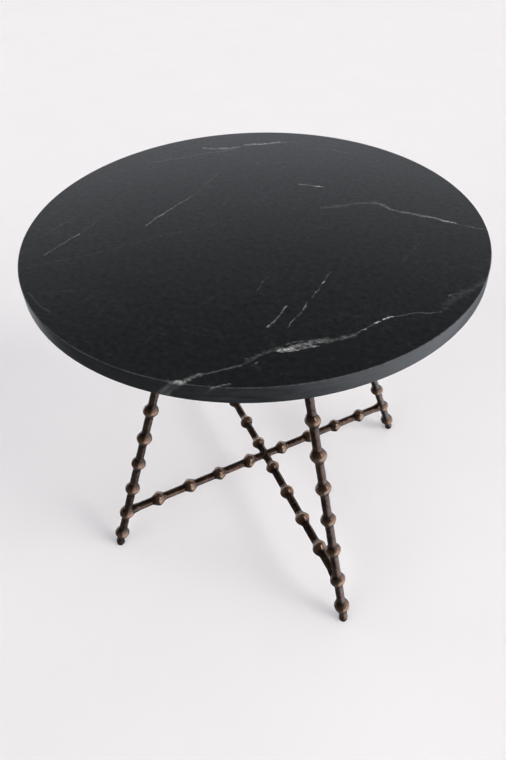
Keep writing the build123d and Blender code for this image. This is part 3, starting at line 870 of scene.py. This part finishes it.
nylon = moulded_nylon()
for corner in leg_azimuths:
    low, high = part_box(f"glide_stem_{corner}")
    centre = Vector(((low[0] + high[0]) / 2, (low[1] + high[1]) / 2, 0))
    stem = threaded_stem(f"glide_stem_{corner}_threaded", centre, high[2])
    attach(stem, f"glide_stem_{corner}")
    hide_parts(f"glide_stem_{corner}")
    finish_nodes(nylon, f"glide_pad_{corner}")

# ---------------------------------------------------------------------------------------
# Studio. A plain pale floor that runs back out of sight, one firmer light from the right,
# wide soft ones low down all round, a small fill in front, and the camera.
floor_size = 60.0


def pale_floor():
    """Matt white studio floor."""
    material, tree, shader, here = start_material("matt_white_floor_paint")
    scuffs = add(tree, "ShaderNodeTexNoise", {"Vector": here, "Scale": 3.0, "Detail": 4.0})
    colour = add(tree, "ShaderNodeMix", {0: scuffs, 6: linear("#ecebeb"), 7: linear("#f0efef")},
                 out=2, data_type="RGBA")
    tree.links.new(colour, shader.inputs["Base Color"])
    shader.inputs["Roughness"].default_value = 0.9
    return material


floor_shape = bmesh.new()
bmesh.ops.create_grid(floor_shape, x_segments=1, y_segments=1, size=floor_size / 2)
floor = put_in_scene("studio_floor", finished_mesh(floor_shape, "studio_floor"))
floor.data.materials.append(pale_floor())
floor.visible_glossy = False

# soft lights far off, as (compass angle, height angle, spread in degrees, strength, colour)
soft_lights = {
    "key_right": (2, 41, 21, 0.68, "#fff7f6"),
    "low_right": (0, 16, 44, 2.35, "#fff9f9"),
    "low_front_right": (-35, 16, 44, 0.95, "#fffdff"),
    "low_front": (-122, 16, 60, 2.15, "#fffdff"),
    "low_left": (180, 16, 44, 1.03, "#fffdff"),
    "back_right": (60, 34, 60, 0.67, "#fffdff"),
    "overhead": (-90, 75, 60, 0.22, "#ffffff"),
}
for name, (compass, height, spread, strength, colour) in soft_lights.items():
    light = bpy.data.lights.new(name, "SUN")
    light.angle = math.radians(spread)
    light.energy = strength
    light.color = linear(colour)[:3]
    lamp = put_in_scene(name, light)
    lamp.rotation_euler = (0, math.radians(90 - height), math.radians(compass))
    lamp.visible_glossy = name == "key_right"

# a small fill over the front of the floor, which falls away toward the back
fill = bpy.data.lights.new("front_fill", "AREA")
fill.shape = "DISK"
fill.size = 1.6
fill.energy = 2.2
fill_lamp = put_in_scene("front_fill", fill)
fill_lamp.location = (0.6, -1.7, 2.6)
fill_lamp.visible_glossy = False

# the room: white cloths low on the right and behind, a dimmer one at floor level behind on
# the left, and dark overhead. The floor stays out of reflections, so these show in the
# bronze and along the slab's edge.
world = bpy.data.worlds.new("studio_room")
bpy.context.scene.world = world
world.use_nodes = True
room = world.node_tree
toward = add(room, "ShaderNodeTexCoord", out="Generated")
upward = add(room, "ShaderNodeSeparateXYZ", {0: toward}, out="Z")


def hung_cloth(way, edge, full, brightness):
    """How bright a hung cloth is in each direction: full round the way it hangs, fading
    out to nothing at its edge."""
    facing = add(room, "ShaderNodeVectorMath", {0: toward, 1: way}, out="Value",
                 operation="DOT_PRODUCT")
    return add(room, "ShaderNodeMapRange", {0: facing, 1: edge, 2: full, 3: 0.0, 4: brightness},
               interpolation_type="SMOOTHSTEP")


right_cloth = hung_cloth((1.0, -0.03, 0.0), 0.3, 0.85, 1.68)
back_cloth = hung_cloth((-0.30, 0.95, 0.0), 0.1, 0.9, 1.45)
from_floor = add(room, "ShaderNodeMapRange", {0: upward, 1: -0.3, 2: 0.1, 3: 0.2, 4: 1.0})
back_cloth = add(room, "ShaderNodeMath", {0: back_cloth, 1: from_floor}, operation="MULTIPLY")
left_cloth = hung_cloth((-0.77, 0.64, 0.0), 0.6, 0.85, 0.8)
below = add(room, "ShaderNodeMapRange", {0: upward, 1: -0.3, 2: 0.0, 3: 1.0, 4: 0.0})
left_cloth = add(room, "ShaderNodeMath", {0: left_cloth, 1: below}, operation="MULTIPLY")
cloths = add(room, "ShaderNodeMath", {0: right_cloth, 1: back_cloth}, operation="MAXIMUM")
cloths = add(room, "ShaderNodeMath", {0: cloths, 1: left_cloth}, operation="MAXIMUM")
fading = add(room, "ShaderNodeMapRange", {0: upward, 1: 0.22, 2: 0.57, 3: 1.0, 4: 0.02},
             interpolation_type="SMOOTHSTEP")
cloths = add(room, "ShaderNodeMath", {0: cloths, 1: fading}, operation="MULTIPLY")
glow = add(room, "ShaderNodeMapRange", {0: upward, 1: -0.3, 2: 0.1, 3: 0.1, 4: 0.012})
cloths = add(room, "ShaderNodeMath", {0: cloths, 1: glow}, operation="ADD")
cloths = add(room, "ShaderNodeVectorMath", {0: linear("#f3f7ff")[:3], "Scale": cloths},
             operation="SCALE")
seen = add(room, "ShaderNodeLightPath", out="Is Camera Ray")
light_or_wall = add(room, "ShaderNodeMix", {0: seen, 6: cloths, 7: linear("#efeded")}, out=2,
                    data_type="RGBA")
room.links.new(light_or_wall, room.nodes["Background"].inputs["Color"])

camera_data = bpy.data.cameras.new("camera")
camera_data.sensor_width = 36.0
camera_data.lens = 28.28
camera_data.shift_x = -0.0289
camera_data.shift_y = -0.1430
camera_data.clip_start, camera_data.clip_end = 0.05, 60.0
camera = put_in_scene("camera", camera_data)
camera_height = 1.2918
camera_back = 0.9131
camera_azimuth = math.radians(21.50)
camera_heading = math.radians(19.48)
camera_tilt = math.radians(54.435)
camera_roll = math.radians(-1.10)
camera_place = Vector((math.sin(camera_azimuth), -math.cos(camera_azimuth), 0)) * camera_back
camera_place.z = camera_height
camera.matrix_world = (
    Matrix.Translation(camera_place)
    @ Matrix.Rotation(camera_heading, 4, "Z")
    @ Matrix.Rotation(camera_tilt, 4, "X")
    @ Matrix.Rotation(camera_roll, 4, "Z")
)
bpy.context.scene.camera = camera
bpy.context.scene.view_settings.view_transform = "Standard"
